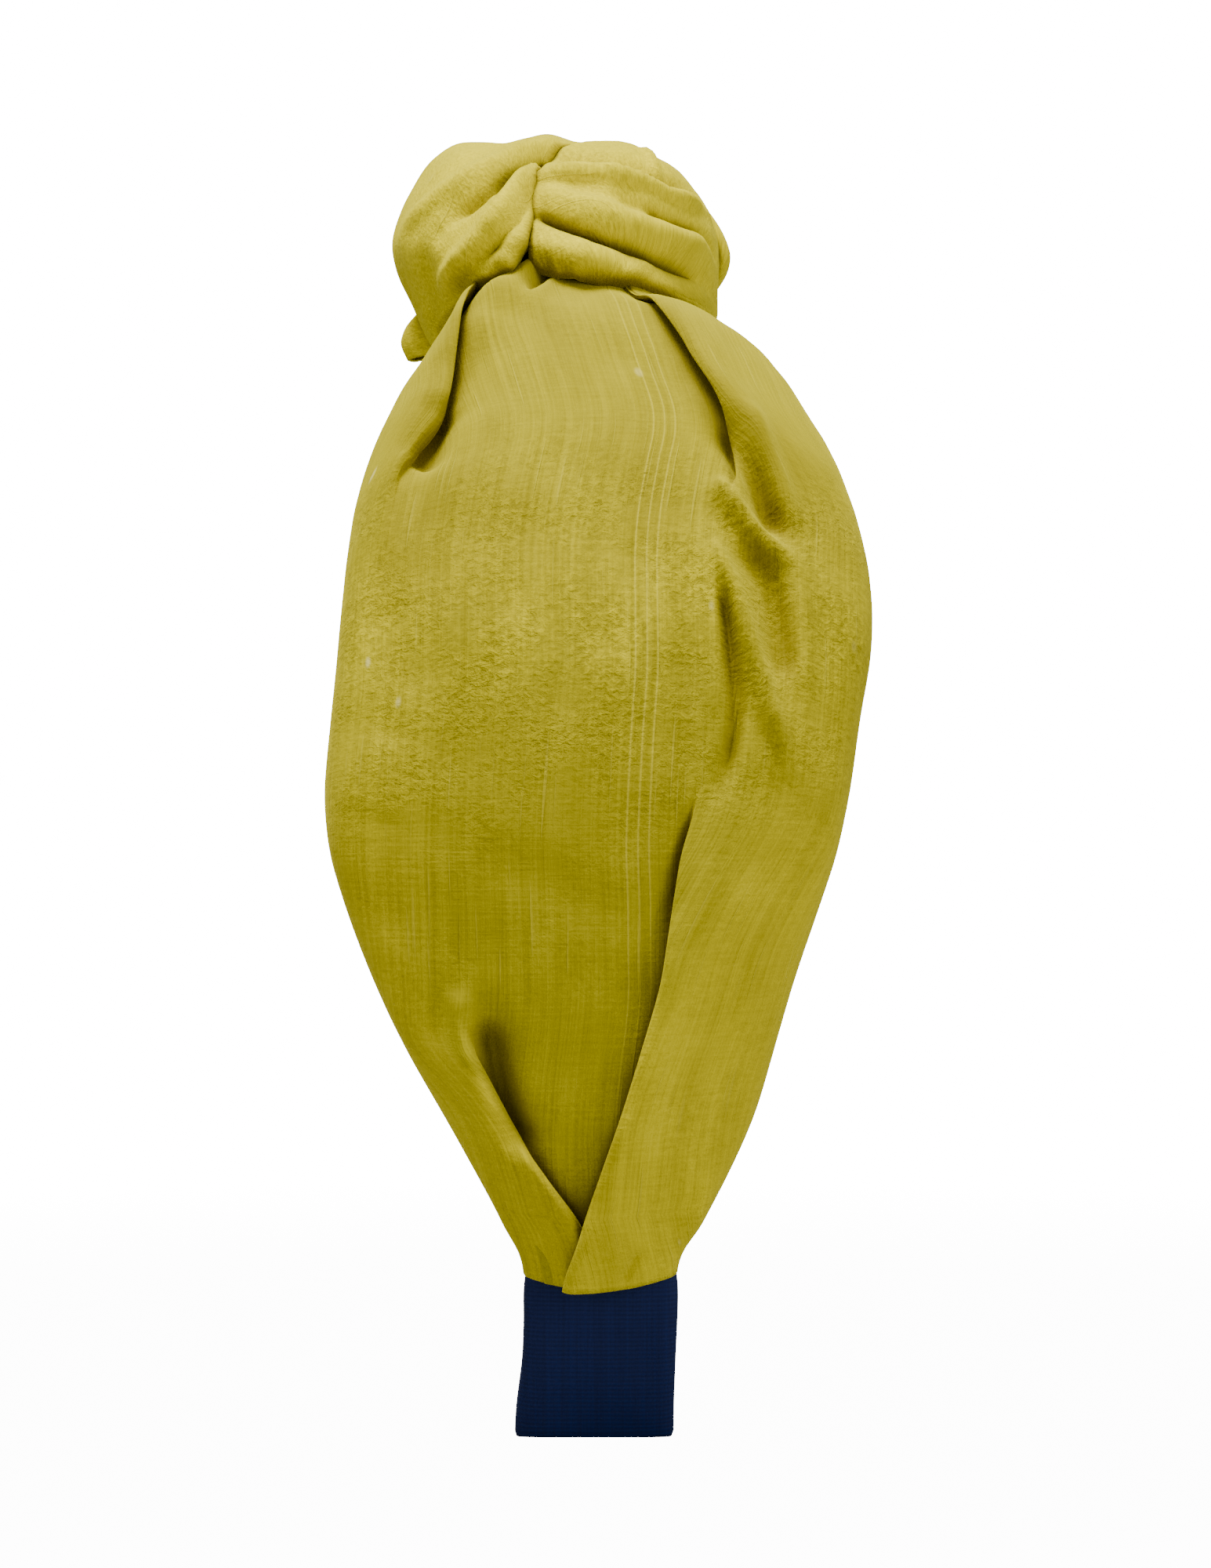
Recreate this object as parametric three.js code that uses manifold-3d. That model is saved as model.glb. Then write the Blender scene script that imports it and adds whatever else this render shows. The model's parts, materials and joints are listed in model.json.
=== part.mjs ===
// A knotted velvet headband: a springy hoop with a navy lining, padded velvet covers on both arms, and two
// velvet strands crossing in a knot on the crown.
// Millimetres. +Z is up from the surface that the tips stand on, X runs from arm to arm (the wearer's left is
// +X) and Y from the front edge to the back edge. The origin is midway between the two tips.
// A place on the hoop is an arc length from a tip. Across the hoop, a section is drawn in y (along Y) and n,
// the distance outwards from the middle of the core.
import * as THREE from "three";
import { mergeVertices } from "three/addons/utils/BufferGeometryUtils.js";
import Module from "manifold-3d";

const wasm = await Module();
wasm.setup();

// Driving dimensions.
const GAP = 0.3; // between parts that touch
const HOOP = { halfSpan: 66, tipHalfSpan: 57, shoulderZ: 68, crownRise: 68 };
const CORE = { halfThick: 0.8, cornerRadius: 2 };
const WRAP = { thick: 0.7, length: 27, cornerRadius: 1 };
const LINING = { thick: 0.7, halfWidth: 6.5, endAbove: 5 };
const COVER = { cloth: 0.9, start: 18.5, returnReach: 4.5, crownGap: 0.5 };
const KNOT = { y: -3.9, z: 141, radiusX: 27, radiusY: 22.6, radiusZ: 25, swing: 98 };

// ---------------------------------------------------------------- the hoop's middle line

function hoopLine() {
  const inset = HOOP.halfSpan - HOOP.tipHalfSpan;
  const radius = (HOOP.shoulderZ ** 2 + inset ** 2) / (2 * inset);
  const lean = Math.asin(HOOP.shoulderZ / radius);
  const line = new THREE.Path();
  line.absarc(HOOP.halfSpan - radius, HOOP.shoulderZ, radius, -lean, 0);
  line.absellipse(0, HOOP.shoulderZ, HOOP.halfSpan, HOOP.crownRise, 0, Math.PI);
  line.absarc(radius - HOOP.halfSpan, HOOP.shoulderZ, radius, Math.PI, Math.PI + lean);
  line.arcLengthDivisions = 600;
  return line;
}

const LINE = hoopLine();
const LENGTH = LINE.getLength();
const HALF = LENGTH / 2;

// The point, the direction along the hoop and the outward direction at an arc length from the +X tip.
function placeAt(arc) {
  const share = arc / LENGTH;
  const p = LINE.getPointAt(share);
  const t = LINE.getTangentAt(share);
  return {
    point: new THREE.Vector3(p.x, 0, p.y),
    along: new THREE.Vector3(t.x, 0, t.y),
    out: new THREE.Vector3(t.y, 0, -t.x),
  };
}

// A section's points, set across the hoop at an arc length. With a level, the ring is sheared along the hoop
// onto the plane at that height, which makes the flat end that a tip stands on.
function ringAt(arc, section, level = null) {
  const { point, along, out } = placeAt(arc);
  return section.map(([y, n]) => {
    const p = point.clone().addScaledVector(out, n);
    p.y += y;
    return level === null ? p : p.addScaledVector(along, (level - p.z) / along.z);
  });
}

// ---------------------------------------------------------------- meshes from rings

const step = (a, b, x) => THREE.MathUtils.smoothstep(x, a, b);
const mix = THREE.MathUtils.lerp;
const range = (count, of) => Array.from({ length: count }, (_, i) => of(i));

// A smooth line through (arc, value) pairs.
function profile(...pairs) {
  const curve = new THREE.CatmullRomCurve3(
    pairs.map(([arc, value]) => new THREE.Vector3(arc, value, 0)),
    false,
    "centripetal",
  );
  const points = curve.getPoints(24 * pairs.length);
  return (arc) => {
    const i = points.findIndex((p) => p.x >= arc);
    if (i <= 0) return i === 0 ? points[0].y : points.at(-1).y;
    const [a, b] = [points[i - 1], points[i]];
    return mix(a.y, b.y, (arc - a.x) / (b.x - a.x));
  };
}

const sides = (rings) => {
  const triangles = [];
  for (let i = 0; i + 1 < rings.length; i++) {
    const [a, b] = [rings[i], rings[i + 1]];
    for (let j = 0; j < a.length; j++) {
      const k = (j + 1) % a.length;
      triangles.push([a[j], a[k], b[k]], [a[j], b[k], b[j]]);
    }
  }
  return triangles;
};

const cap = (ring, section, turned) => {
  const flat = section.map(([y, n]) => new THREE.Vector2(y, n));
  const faces = THREE.ShapeUtils.triangulateShape(flat, []);
  return faces.map(([a, b, c]) => (turned ? [ring[a], ring[c], ring[b]] : [ring[a], ring[b], ring[c]]));
};

// A closed solid from triangles of Vector3, with its faces turned outwards whichever way they came.
function solidOf(triangles) {
  const geometry = new THREE.BufferGeometry().setFromPoints(triangles.flat());
  const merged = mergeVertices(geometry, 1e-4);
  const made = (triVerts) =>
    new wasm.Manifold(
      new wasm.Mesh({ numProp: 3, vertProperties: merged.attributes.position.array, triVerts }),
    );
  const solid = made(new Uint32Array(merged.index.array));
  if (solid.volume() > 0) return solid;
  return made(new Uint32Array(merged.index.array).reverse());
}

// A solid swept through rings that share one kind of section.
function loft(rings, firstSection, lastSection = firstSection) {
  return solidOf([
    ...sides(rings),
    ...cap(rings[0], firstSection, true),
    ...cap(rings.at(-1), lastSection, false),
  ]);
}

function meshOf(name, solid, material) {
  const made = solid.getMesh();
  const geometry = new THREE.BufferGeometry();
  geometry.setAttribute("position", new THREE.BufferAttribute(made.vertProperties, 3));
  geometry.setIndex(new THREE.BufferAttribute(made.triVerts, 1));
  geometry.computeVertexNormals();
  const mesh = new THREE.Mesh(geometry, material);
  mesh.name = name;
  return mesh;
}

const largest = (solid) => solid.decompose().sort((a, b) => b.volume() - a.volume())[0];

// A rectangle with round ends, centred on n.
function strip(halfWidth, halfThick, n = 0, corners = 4) {
  const flat = halfWidth - halfThick;
  const end = (side) =>
    range(corners + 1, (i) => {
      const a = (i / corners - 0.5) * Math.PI;
      return [side * (flat + halfThick * Math.cos(a)), n + side * halfThick * Math.sin(a)];
    });
  return [...end(1), ...end(-1)];
}

// ---------------------------------------------------------------- the rigid and lined parts

// Everything along one arm has its rings at the same stops, so what lies together bends together.
const STOPS = [
  ...[2, 5, 8, 11.5, 15, COVER.start, 21, 24, WRAP.length, 29, 31, 33, 36, 39, 43],
  ...range(20, (i) => mix(48, HALF - COVER.crownGap, i / 19)),
];
const bothArms = (stops) => [...stops, ...stops.map((arc) => LENGTH - arc).reverse()];

// Widths and offsets are the same on both arms, so they are read by the distance from the nearer tip.
const fromTip = (arc) => Math.min(arc, LENGTH - arc);
const coreWidthAt = profile(
  [0, 8.1], [10, 7.7], [17, 6.8], [26, 7], [60, 8.6], [110, 9.5], [150, 9], [176, 9],
);
const coreHalfWidth = (arc) => coreWidthAt(fromTip(arc));
const wrapTop = WRAP.length + WRAP.thick;
// Half the height of the pocket in a cover, which is deeper where the tip wrap lies in it too.
const pocketHalf = (arc) =>
  CORE.halfThick + GAP + (WRAP.thick + GAP) * (1 - step(wrapTop, wrapTop + 3, fromTip(arc)));

function coreBand() {
  const inset = WRAP.thick + GAP;
  const radius = CORE.cornerRadius;
  const corner = (rise) => radius - Math.sqrt(radius ** 2 - (radius - rise) ** 2);
  const rises = [0, 0.6, CORE.cornerRadius];
  const section = (arc, less = 0) => strip(coreHalfWidth(arc) - less, CORE.halfThick);
  const end = rises.map((rise) => ringAt(inset + rise, section(0, corner(rise)), inset + rise));
  const otherEnd = rises
    .map((rise) => ringAt(LENGTH - inset - rise, section(0, corner(rise)), inset + rise))
    .reverse();
  const middle = bothArms(STOPS.filter((arc) => arc > inset + CORE.cornerRadius + 1)).map((arc) =>
    ringAt(arc, section(arc)),
  );
  return loft([...end, ...middle, ...otherEnd], section(0, corner(0)));
}

// A sock of lining cloth over one tip of the core, closed at the bottom. It is drawn on the +X arm.
function tipWrap() {
  const outer = (arc) => strip(coreHalfWidth(arc) + GAP + WRAP.thick, CORE.halfThick + GAP + WRAP.thick);
  const inner = (arc) => strip(coreHalfWidth(arc) + GAP, CORE.halfThick + GAP);
  const rounded = outer(0).map(([y, n]) => [y - Math.sign(y) * WRAP.cornerRadius * 0.8, n]);
  const arcs = STOPS.filter((arc) => arc <= WRAP.length);
  const skin = [
    ringAt(0, rounded, 0),
    ringAt(WRAP.cornerRadius, outer(0), WRAP.cornerRadius),
    ...arcs.map((arc) => ringAt(arc, outer(arc))),
  ];
  const hollow = [
    ringAt(WRAP.thick, inner(0), WRAP.thick),
    ...[...arcs, WRAP.length + 1].map((arc) => ringAt(arc, inner(arc))),
  ];
  return loft(skin, rounded, outer(WRAP.length)).subtract(loft(hollow, inner(0), inner(WRAP.length)));
}

// The ribbon on the head's side, from tip to tip. It climbs over the covers' turned-in edges.
function liningRibbon() {
  const under = (arc) => {
    const covered = step(COVER.start - 5, COVER.start - 1, fromTip(arc));
    return pocketHalf(arc) + covered * (COVER.cloth + GAP);
  };
  const section = (arc) => strip(LINING.halfWidth, LINING.thick / 2, -under(arc) - LINING.thick / 2, 2);
  const stops = bothArms(STOPS.filter((arc) => arc >= LINING.endAbove));
  const rings = stops.map((arc) => ringAt(arc, section(arc)));
  return loft(rings, section(LINING.endAbove));
}

// ---------------------------------------------------------------- the soft covers

// The cover's front (-Y) and back (+Y) edges, the crown of its outside and how far its edges fall back,
// by arc from the tip. The cloth is pinched at the tip, widest at the side of the head and gathered under the knot.
const frontEdge = profile(
  [0, -8.7], [19, -8.7], [25, -10.2], [32, -13.8], [40, -18.2], [48, -22.9], [56, -26.7], [64, -29.8],
  [72, -32.2], [80, -32.8], [96, -31.4], [112, -30.2], [128, -28.9], [144, -26.3], [152, -23.5], [160, -18.5],
  [168, -15], [176, -14],
);
const backEdge = profile(
  [0, 9.8], [19, 9.8], [25, 12], [32, 15.7], [40, 19.1], [56, 23.7], [72, 28.8], [88, 31.6],
  [104, 33.4], [120, 32.2], [136, 29.2], [144, 27.1], [152, 23.5], [160, 17], [168, 13], [176, 11.5],
);
const topAt = profile(
  [0, 4.4], [19, 4.4], [34, 5.8], [60, 7.4], [110, 8], [136, 10], [148, 13], [160, 13.5], [176, 13],
);
const fallAt = profile(
  [0, 0], [19, 0.2], [34, -1.5], [60, -4.6], [110, -5.4], [140, -4], [160, -1], [176, -1],
);

// The outside of the cover, inset all round by so much, from the back edge over the top to the front.
function coverOutside(arc, inset, count) {
  const [front, back] = [frontEdge(arc) + inset, backEdge(arc) - inset];
  const [top, fall] = [topAt(arc) - inset, fallAt(arc)];
  return range(count + 1, (i) => {
    const a = (i / count) * Math.PI;
    return [mix(front, back, 0.5 + 0.5 * Math.cos(a)), mix(fall, top, Math.sin(a) ** 0.8)];
  });
}

// The head's side of the cover, from one y to another.
function coverInside(arc, inset, from, to, count) {
  const floor = -pocketHalf(arc) - COVER.cloth + inset;
  const fall = Math.min(fallAt(arc) - 1.4 + inset, floor);
  return range(count + 1, (i) => {
    const y = mix(from, to, i / count);
    const edge = y / (y < 0 ? frontEdge(arc) : backEdge(arc));
    return [y, mix(floor, fall, step(0.35, 1, edge))];
  });
}

function coverSection(arc) {
  const { cloth, returnReach: reach } = COVER;
  const [front, back] = [frontEdge(arc), backEdge(arc)];
  return [
    ...coverOutside(arc, 0, 14),
    ...coverInside(arc, 0, front * 0.97, -reach, 3),
    ...coverInside(arc, cloth, -reach, (front + cloth) * 0.96, 3),
    ...coverOutside(arc, cloth, 14).reverse(),
    ...coverInside(arc, cloth, (back - cloth) * 0.96, reach, 3),
    ...coverInside(arc, 0, reach, back * 0.97, 3),
  ];
}

// The cover of the +X arm, a sheet folded round the hoop with its edges turned in under the lining.
function armCover() {
  const arcs = STOPS.filter((arc) => arc >= COVER.start);
  const rings = arcs.map((arc) => ringAt(arc, coverSection(arc)));
  return loft(rings, coverSection(arcs[0]), coverSection(arcs.at(-1)));
}

// ---------------------------------------------------------------- the knot

// The knot is a dome over the crown. A point of it has a swing from front (-90) over the top to back (90),
// a lean towards +X, both in degrees, and a share of the dome's size.
function domePoint(swing, lean, share) {
  const [a, b] = [THREE.MathUtils.degToRad(swing), THREE.MathUtils.degToRad(lean)];
  return new THREE.Vector3(
    share * KNOT.radiusX * Math.sin(b),
    KNOT.y + share * KNOT.radiusY * Math.cos(b) * Math.sin(a),
    KNOT.z + share * KNOT.radiusZ * Math.cos(b) * Math.cos(a),
  );
}

// One strand of the knot. Its lean, half width, outside and depth go by its swing without sign. Turn is +1
// for the strand that comes down on the +X arm at the front, and grow thickens it all round.
function strand({ turn, lean, halfWidth, outside, depth }, grow = 0) {
  const growShare = grow / KNOT.radiusY;
  const growLean = THREE.MathUtils.radToDeg(growShare);
  const stations = 24;
  const rings = range(stations + 1, (i) => {
    const swing = mix(-KNOT.swing, KNOT.swing, i / stations) * (1 + growShare / 1.6);
    const away = Math.abs(swing);
    const middle = -turn * Math.sign(swing) * lean(away);
    const [half, top, deep] = [halfWidth(away) + growLean, outside(away), depth(away)];
    return range(16, (j) => {
      const b = (j / 16) * 2 * Math.PI;
      const across = Math.sign(Math.cos(b)) * Math.abs(Math.cos(b)) ** 0.8;
      const share = top - deep / 2 + (deep / 2 + growShare) * Math.sin(b);
      return domePoint(swing, middle + half * across, share);
    });
  });
  const round = range(16, (j) => [Math.cos((j / 8) * Math.PI), Math.sin((j / 8) * Math.PI)]);
  return loft(rings, round);
}

const OVER = {
  turn: 1,
  lean: profile([-10, 0], [0, 0], [20, 18], [42, 32], [80, 25], [100, 22]),
  halfWidth: profile([-10, 29], [0, 29], [20, 31], [42, 35], [80, 31], [100, 22]),
  outside: profile([-10, 1], [0, 1], [35, 1], [55, 1.04], [72, 1], [90, 0.88], [100, 0.82]),
  depth: profile([-10, 0.3], [0, 0.3], [60, 0.32], [100, 0.24]),
};
const UNDER = {
  turn: -1,
  lean: profile([-10, 0], [0, 0], [20, 8], [50, 14], [66, 22], [80, 25], [100, 20]),
  halfWidth: profile([-10, 70], [0, 70], [20, 66], [50, 58], [66, 44], [80, 32], [100, 22]),
  outside: profile([-10, 0.84], [0, 0.84], [18, 0.93], [34, 0.98], [52, 0.99], [70, 0.93], [100, 0.84]),
  depth: profile([-10, 0.5], [0, 0.5], [50, 0.46], [100, 0.34]),
};

// ---------------------------------------------------------------- materials and assembly

const cloth = (color, roughness) => new THREE.MeshStandardMaterial({ color, roughness, metalness: 0 });
const velvet = cloth(0xb5a022, 0.85);
const navy = cloth(0x0b1a33, 0.75);
const plastic = cloth(0x14161a, 0.45);

const headband = new THREE.Group();
const knotSpace = wasm.Manifold.union([strand(OVER, GAP), strand(UNDER, GAP)]);
headband.add(meshOf("core_band", coreBand(), plastic));
headband.add(meshOf("lining_ribbon", liningRibbon(), navy));
headband.add(meshOf("knot_over_strand", strand(OVER), velvet));
headband.add(meshOf("knot_under_strand", largest(strand(UNDER).subtract(strand(OVER, GAP))), velvet));
// The right arm is the left one turned half round about the upright axis.
for (const [side, turn] of [["left", 0], ["right", 180]]) {
  const cover = armCover().rotate([0, 0, turn]).subtract(knotSpace);
  headband.add(meshOf(`${side}_tip_wrap`, tipWrap().rotate([0, 0, turn]), navy));
  headband.add(meshOf(`${side}_cover`, largest(cover), velvet));
}

export default headband;
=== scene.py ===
# A knotted velvet headband standing on its tips on a pale floor.
import json
import math

import bpy
import numpy as np
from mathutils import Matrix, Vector


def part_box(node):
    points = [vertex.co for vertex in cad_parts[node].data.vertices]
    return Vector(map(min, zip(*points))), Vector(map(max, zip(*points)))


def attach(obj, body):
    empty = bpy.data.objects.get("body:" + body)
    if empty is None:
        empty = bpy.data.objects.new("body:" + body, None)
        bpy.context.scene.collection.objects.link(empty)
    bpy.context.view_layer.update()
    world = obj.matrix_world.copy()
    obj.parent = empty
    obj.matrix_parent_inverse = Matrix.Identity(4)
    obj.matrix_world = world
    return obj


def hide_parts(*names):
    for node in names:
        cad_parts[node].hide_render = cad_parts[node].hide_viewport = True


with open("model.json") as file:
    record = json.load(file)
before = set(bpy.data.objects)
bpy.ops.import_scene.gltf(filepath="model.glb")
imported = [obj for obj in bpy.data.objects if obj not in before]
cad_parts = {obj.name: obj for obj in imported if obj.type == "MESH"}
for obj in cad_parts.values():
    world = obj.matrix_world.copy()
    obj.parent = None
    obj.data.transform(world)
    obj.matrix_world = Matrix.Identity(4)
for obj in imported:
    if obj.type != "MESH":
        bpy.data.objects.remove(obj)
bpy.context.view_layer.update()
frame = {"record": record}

MM = 0.001  # lengths below are in millimetres unless a name or comment says otherwise

# ---------------------------------------------------------------- where the hoop runs, from the CAD's boxes

mounts = {m["name"]: m for m in frame["record"]["mounts"]}
core_low, core_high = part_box("core_band")
CORE_HALF_THICK = 0.8
CROWN_Z = core_high.z / MM - CORE_HALF_THICK
HALF_SPAN = core_high.x / MM - CORE_HALF_THICK
SHOULDER_Z = CROWN_Z / 2
TIP_X = mounts["left_tip_end"]["pos_m"][0] / MM
VELVET_START = 18.5  # the arc length from the tip where the velvet begins
CROWN_GAP = 0.15  # between each arm's velvet and the middle of the crown

knot_low, knot_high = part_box("knot_over_strand")
RADII_ACROSS = (1.693, 1.845)  # the upper strand's box, counted in radii of the knot, along x and y
KNOT_RISE = 25.0
KNOT_Y = (knot_low.y + knot_high.y) / 2 / MM
KNOT_RADIUS = (
    (knot_high.x - knot_low.x) / RADII_ACROSS[0] / MM,
    (knot_high.y - knot_low.y) / RADII_ACROSS[1] / MM,
    KNOT_RISE,
)
KNOT_Z = knot_high.z / MM - KNOT_RISE


def hoop_line():
    """The core's middle line from the +X tip to the crown: arc length, x, z and the outward direction."""
    inset = HALF_SPAN - TIP_X
    radius = (SHOULDER_Z ** 2 + inset ** 2) / (2 * inset)
    lean = math.asin(SHOULDER_Z / radius)
    low = np.linspace(-lean, 0, 600)
    high = np.linspace(0, math.pi / 2, 900)[1:]
    x = np.concatenate([HALF_SPAN - radius + radius * np.cos(low), HALF_SPAN * np.cos(high)])
    z = np.concatenate([SHOULDER_Z + radius * np.sin(low), SHOULDER_Z + SHOULDER_Z * np.sin(high)])
    arc = np.concatenate([[0], np.cumsum(np.hypot(np.diff(x), np.diff(z)))])
    along_x, along_z = np.gradient(x, arc), np.gradient(z, arc)
    length = np.hypot(along_x, along_z)
    return arc, x, z, along_z / length, -along_x / length


ARC, LINE_X, LINE_Z, OUT_X, OUT_Z = hoop_line()
HALF = ARC[-1]


def on_hoop(arc, y, n):
    """Points at an arc length from the tip, a place across the hoop and a height off the core."""
    ox, oz = np.interp(arc, ARC, OUT_X), np.interp(arc, ARC, OUT_Z)
    x = np.interp(arc, ARC, LINE_X) + ox * n
    z = np.interp(arc, ARC, LINE_Z) + oz * n
    return np.stack([x, y, z], -1)


def profile(*pairs, soft=2.5):
    """A softened line through (place, value) pairs, as a function of the place."""
    step, reach, margin = 0.25, 40, 12
    at, value = np.array(pairs, float).T
    fine = np.arange(at[0] - margin, at[-1] + margin, step)
    kernel = np.exp(-0.5 * (np.arange(-reach, reach + 1) * step / soft) ** 2)
    kernel /= kernel.sum()
    smooth = np.convolve(np.pad(np.interp(fine, at, value), reach, "edge"), kernel, "valid")
    return lambda place: np.interp(place, fine, smooth)


def blend_in(low, high, x):
    """0 below low, 1 above high, and a soft step between."""
    t = np.clip((x - low) / (high - low), 0, 1)
    return t * t * (3 - 2 * t)


FOLD_END = 0.22  # the share of a fold's length over which it fades in or out
LEFT_AT_END = 0.15  # the share of its height that it keeps there


def fold_height(places, folds):
    """The sum of soft ridges and valleys, each a line of places with a width, a height and faded ends."""
    total = np.zeros(places.shape[:-1])
    for line, width, height in folds:
        line = smooth_rows(np.array(line, float)[None], [5] * (len(line) - 1))[0]
        ends = np.concatenate([[0], np.cumsum(np.linalg.norm(np.diff(line, axis=0), axis=1))])
        nearest = np.full(total.shape, 1e9)
        along = np.zeros(total.shape)
        for a, b, start, end in zip(line, line[1:], ends, ends[1:]):
            t = np.clip(((places - a) @ (b - a)) / ((b - a) @ (b - a)), 0, 1)
            away = np.linalg.norm(places - a - t[..., None] * (b - a), axis=-1)
            closer = away < nearest
            nearest = np.where(closer, away, nearest)
            along = np.where(closer, (start + t * (end - start)) / ends[-1], along)
        fade = blend_in(0, FOLD_END, along) * blend_in(0, FOLD_END, 1 - along)
        total += height * (LEFT_AT_END + (1 - LEFT_AT_END) * fade) * np.exp(-((nearest / width) ** 2))
    return total


def waves(places, seed, scale, count=10):
    """Gentle random unevenness between about -1 and 1, with features of about that size."""
    rng = np.random.default_rng(seed)
    total = np.zeros(places.shape[:-1])
    for _ in range(count):
        angle, phase = rng.uniform(0, 2 * math.pi, 2)
        stretch = rng.uniform(0.6, 1.6)
        direction = np.array([math.cos(angle), math.sin(angle)]) * 2 * math.pi / (scale * stretch)
        total += np.sin(places @ direction + phase)
    return total / math.sqrt(count)


def smooth_rows(controls, steps):
    """A smooth line through each row of control points, with that many steps between two of them."""
    before = 2 * controls[:, :1] - controls[:, 1:2]
    after = 2 * controls[:, -1:] - controls[:, -2:-1]
    a = np.concatenate([before, controls, after], 1)
    pieces = []
    for k in range(controls.shape[1] - 1):
        p0, p1, p2, p3 = (a[:, k + i] for i in range(4))
        chords = (p1 - p0, p2 - p1, p3 - p2)
        span = [np.maximum(np.linalg.norm(c, axis=-1, keepdims=True), 1e-6) ** 0.5 for c in chords]
        m1 = (p1 - p0) / span[0] - (p2 - p0) / (span[0] + span[1]) + (p2 - p1) / span[1]
        m2 = (p2 - p1) / span[1] - (p3 - p1) / (span[1] + span[2]) + (p3 - p2) / span[2]
        m1, m2 = m1 * span[1], m2 * span[1]
        for t in np.arange(steps[k]) / steps[k]:
            leave, arrive = 2 * t ** 3 - 3 * t ** 2 + 1, -2 * t ** 3 + 3 * t ** 2
            turn_out, turn_in = t ** 3 - 2 * t ** 2 + t, t ** 3 - t ** 2
            pieces.append(leave * p1 + turn_out * m1 + arrive * p2 + turn_in * m2)
    pieces.append(controls[:, -1])
    return np.stack(pieces, 1)


# ---------------------------------------------------------------- building meshes

def grid_mesh(name, points, uv, closed=False):
    """A mesh over a grid of points in millimetres, with cloth coordinates in metres in its UV map."""
    rows, columns = points.shape[:2]
    mesh = bpy.data.meshes.new(name)
    index = np.arange(rows * columns).reshape(rows, columns)
    right = np.roll(index, -1, 1) if closed else index[:, 1:]
    left = index if closed else index[:, :-1]
    faces = np.stack([left[:-1], right[:-1], right[1:], left[1:]], -1).reshape(-1, 4)
    mesh.from_pydata((points.reshape(-1, 3) * MM).tolist(), [], faces.tolist())
    layer = mesh.uv_layers.new(name="cloth")
    flat = uv.reshape(-1, 2)
    loops = np.empty(len(mesh.loops), np.int32)
    mesh.loops.foreach_get("vertex_index", loops)
    layer.data.foreach_set("uv", (flat[loops] * MM).astype(np.float32).ravel())
    mesh.polygons.foreach_set("use_smooth", np.ones(len(mesh.polygons), bool))
    obj = bpy.data.objects.new(name, mesh)
    bpy.context.collection.objects.link(obj)
    return obj


def thicken(obj, millimetres):
    """Gives the cloth its thickness, inwards from its outer face."""
    solid = obj.modifiers.new("cloth thickness", "SOLIDIFY")
    solid.thickness = millimetres * MM
    solid.offset = -1
    solid.use_even_offset = False
    return obj


def settle(obj, node, material):
    """Dresses a piece, fixes it to the part's only body and puts it in the place of a CAD node."""
    obj.data.materials.append(material)
    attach(obj, "root")
    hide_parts(node)
    return obj


def cloth_lengths(points):
    """The distance along each row of points, from the row's first point."""
    steps = np.linalg.norm(np.diff(points, axis=1), axis=-1)
    return np.concatenate([np.zeros((len(points), 1)), np.cumsum(steps, 1)], 1)


# ---------------------------------------------------------------- the velvet of one arm

# Across the hoop, the cloth is a line that starts under the front edge, turns round it, makes a knife pleat
# that opens backwards and one that opens forwards, turns round the back edge and ends beneath it.
front_edge = profile(
    (0, -8.5), (19, -8.5), (25, -10.2), (32, -13.8), (40, -18.2), (48, -22.9), (56, -26.7),
    (64, -29.8), (72, -32.3), (80, -33.1), (96, -31.9), (104, -31.5), (112, -31.1), (120, -30.6),
    (128, -29.7), (140, -26.8), (148, -23.6), (156, -19.3), (164, -16), (176, -14),
)
back_edge = profile(
    (0, 9.8), (19, 9.8), (25, 12), (32, 15.8), (40, 19.5), (56, 24), (72, 29.4), (81, 31.2),
    (91, 32.5), (99, 34), (107, 34.4), (114, 34), (121, 32.9), (128, 31.4), (134, 29.8), (142, 27),
    (150, 22.8), (158, 16.5), (166, 12), (176, 10),
)
top_height = profile(
    (0, 3.2), (19, 3.2), (26, 4), (34, 5.2), (60, 7.4), (110, 8), (136, 10), (148, 12.6), (160, 13.2),
    (176, 13),
)
edge_fall = profile((0, 0), (19, 0.2), (34, -1.5), (60, -4.6), (110, -5.4), (140, -4), (160, -1), (176, -1))

# The front pleat: where its fold lies, how deep it is, how far it is pressed shut and how far it stands off.
front_fold = profile(
    (0, 1), (19, 0.5), (28, -1.4), (39, -9.5), (49.5, -14.7), (60, -19), (80, -23), (107, -26),
    (115, -25.8), (120, -25), (124, -23), (128, -20.3), (132, -18.6), (139, -18), (144, -17.4),
    (149, -16.9), (153, -16), (160, -12.5), (176, -9), soft=1.5,
)
front_depth = profile(
    (0, 6), (28, 6), (39, 4.2), (46, 2.4), (52, 0.6), (112, 0.6), (120, 2), (130, 2.6), (176, 3),
)
front_shut = profile((0, 1), (40, 1), (46, 0.75), (52, 0), (114, 0), (124, 0.3), (133, 1), (176, 1))
front_lift = profile(
    (0, 0.2), (28, 0.5), (36, 1.3), (44, 2.6), (50, 0.6), (56, 0), (114, 0), (124, 1.3), (134, 2.3),
    (142, 1.6), (176, 0.6),
)
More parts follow.
